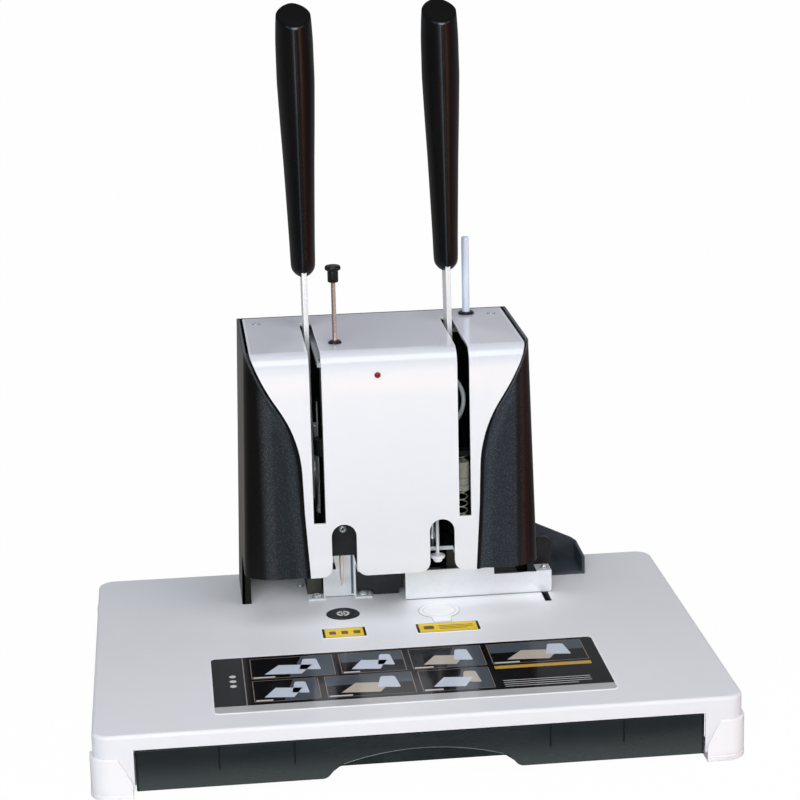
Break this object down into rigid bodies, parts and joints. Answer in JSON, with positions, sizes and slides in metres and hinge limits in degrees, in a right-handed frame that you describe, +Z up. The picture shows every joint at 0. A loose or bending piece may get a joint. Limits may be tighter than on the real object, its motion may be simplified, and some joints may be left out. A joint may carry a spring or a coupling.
{
  "type": "paper drill",
  "caption": "Desktop paper drill and tube riveter: low base with a chip drawer, and a tower with two long hand levers, a hollow drill and a heated rivet head.",
  "frame": {"origin": "centre of the footprint, on the surface that the corner feet stand on", "axes": "+X to the user's right, +Y away from the user, +Z up"},
  "size_m": [0.407, 0.284, 0.4504],
  "materials": {
    "base_cover": "satin white powder coat",
    "base_floor": "bright zinc plate",
    "bracket_screws": "bright zinc plate",
    "centre_wall": "matt black coat",
    "chip_drawer": "smoky moulded",
    "clearing_rod": "polished",
    "corner_feet": "satin moulded",
    "cover_screws": "ground steel",
    "drawer_runners": "bright zinc plate",
    "drill_backstop": "bright zinc plate",
    "drill_bit": "ground tool steel",
    "drill_carriage": "milled",
    "drill_guard": "moulded",
    "drill_lever_bar": "nickel plated",
    "drill_lever_grip": "fine grain",
    "drill_motor": "coated can",
    "drill_pad": "moulded",
    "drill_pinion": "ground steel",
    "drill_rack": "ground steel",
    "drill_return_spring": "ground steel",
    "drill_spindle": "ground steel",
    "drive_belt": "flat belt",
    "front_panel": "gloss white coat",
    "guide_columns": "hard chromed",
    "heater_lead": "grey sleeving",
    "instruction_label": "glossy printed film",
    "left_cover": "grained",
    "left_frame_plate": "bright zinc plate",
    "lever_axle": "ground steel",
    "lower_plate": "bright zinc plate",
    "motor_pulley": "milled",
    "nylon_tube": "nylon",
    "offcut_tray": "moulded",
    "power_inlet": "moulded",
    "rear_cover": "fine texture",
    "right_cover": "grained",
    "right_frame_plate": "bright zinc plate",
    "rivet_anvil": "ground steel",
    "rivet_backstop": "bright zinc plate",
    "rivet_carriage": "milled",
    "rivet_disc": "heat-proof moulding",
    "rivet_head": "turned",
    "rivet_lever_bar": "nickel plated",
    "rivet_lever_grip": "fine grain",
    "rivet_pinion": "ground steel",
    "rivet_rack": "ground steel",
    "rivet_return_spring": "ground steel",
    "rod_bush": "moulded",
    "rod_knob": "moulded",
    "side_stop_post": "matt black coat",
    "spindle_bearings": "ground steel",
    "spindle_pulley": "milled",
    "spring_sleeve": "frosted nylon",
    "station_labels": "printed film",
    "status_lamp": "moulded lens",
    "switch_rocker": "moulded",
    "top_plate": "bright zinc plate",
    "tube_bush": "moulded"
  },
  "bodies": {
    "machine": {"base_cover": "base_cover", "base_floor": "base_floor", "bracket_screws": "bracket_screws", "centre_wall": "centre_wall", "corner_feet": "corner_feet", "cover_screws": "cover_screws", "drawer_runners": "drawer_runners", "drill_backstop": "drill_backstop", "drill_guard": "drill_guard", "drill_pad": "drill_pad", "drill_return_spring": "drill_return_spring", "front_panel": "front_panel", "guide_columns": "guide_columns", "instruction_label": "instruction_label", "left_cover": "left_cover", "left_frame_plate": "left_frame_plate", "lever_axle": "lever_axle", "lower_plate": "lower_plate", "offcut_tray": "offcut_tray", "power_inlet": "power_inlet", "rear_cover": "rear_cover", "right_cover": "right_cover", "right_frame_plate": "right_frame_plate", "rivet_anvil": "rivet_anvil", "rivet_backstop": "rivet_backstop", "rivet_disc": "rivet_disc", "rivet_return_spring": "rivet_return_spring", "rod_bush": "rod_bush", "side_stop_post": "side_stop_post", "station_labels": "station_labels", "status_lamp": "status_lamp", "top_plate": "top_plate", "tube_bush": "tube_bush"},
    "drill_lever": {"drill_lever_bar": "drill_lever_bar", "drill_lever_grip": "drill_lever_grip", "drill_pinion": "drill_pinion"},
    "rivet_lever": {"rivet_lever_bar": "rivet_lever_bar", "rivet_lever_grip": "rivet_lever_grip", "rivet_pinion": "rivet_pinion"},
    "drill_head": {"drill_carriage": "drill_carriage", "drill_rack": "drill_rack", "spindle_bearings": "spindle_bearings", "drive_belt": "drive_belt", "drill_motor": "drill_motor"},
    "spindle": {"drill_spindle": "drill_spindle", "drill_bit": "drill_bit", "spindle_pulley": "spindle_pulley"},
    "motor_rotor": {"motor_pulley": "motor_pulley"},
    "rivet_press": {"rivet_carriage": "rivet_carriage", "rivet_rack": "rivet_rack", "rivet_head": "rivet_head", "heater_lead": "heater_lead", "spring_sleeve": "spring_sleeve"},
    "push_rod": {"clearing_rod": "clearing_rod", "rod_knob": "rod_knob"},
    "rivet_tube": {"nylon_tube": "nylon_tube"},
    "drawer": {"chip_drawer": "chip_drawer"},
    "power_switch": {"switch_rocker": "switch_rocker"}
  },
  "joints": [
    {"name": "drill_lever_pull", "type": "hinge", "parent": "machine", "child": "drill_lever", "pos_m": [0, 0.084, 0.136], "axis": [1, 0, 0], "range_deg": [0, 98.3]},
    {"name": "drill_head_feed", "type": "slide", "parent": "machine", "child": "drill_head", "axis": [0, 0, -1], "range_m": [0, 0.0516], "stiffness_N_per_m": 400, "springref_m": -0.03, "deforming": ["drill_return_spring"]},
    {"name": "spindle_spin", "type": "hinge", "parent": "drill_head", "child": "spindle", "pos_m": [-0.033, 0.045, 0.15], "axis": [0, 0, 1], "continuous": true},
    {"name": "motor_spin", "type": "hinge", "parent": "drill_head", "child": "motor_rotor", "pos_m": [-0.02, 0.109, 0.19], "axis": [0, 0, 1], "continuous": true},
    {"name": "clearing_rod_push", "type": "slide", "parent": "machine", "child": "push_rod", "axis": [0, 0, 1], "range_m": [-0.019, 0.04]},
    {"name": "rivet_lever_pull", "type": "hinge", "parent": "machine", "child": "rivet_lever", "pos_m": [0, 0.084, 0.136], "axis": [1, 0, 0], "range_deg": [0, 95.5]},
    {"name": "rivet_press_feed", "type": "slide", "parent": "machine", "child": "rivet_press", "axis": [0, 0, -1], "range_m": [0, 0.0352], "stiffness_N_per_m": 500, "springref_m": -0.025, "deforming": ["rivet_return_spring"]},
    {"name": "rivet_tube_lift", "type": "slide", "parent": "machine", "child": "rivet_tube", "axis": [0, 0, 1], "range_m": [0, 0.05]},
    {"name": "drawer_pull", "type": "slide", "parent": "machine", "child": "drawer", "axis": [0, -1, 0], "range_m": [0, 0.15]},
    {"name": "switch_tilt", "type": "hinge", "parent": "machine", "child": "power_switch", "pos_m": [-0.076, 0.1267, 0.096], "axis": [1, 0, 0], "range_deg": [-20, 0]}
  ],
  "couplings": [
    {"joint": "drill_head_feed", "follows": "drill_lever_pull", "m_per_rad": 0.03},
    {"joint": "rivet_press_feed", "follows": "rivet_lever_pull", "m_per_rad": 0.021},
    {"joint": "motor_spin", "follows": "spindle_spin", "ratio": 1}
  ]
}
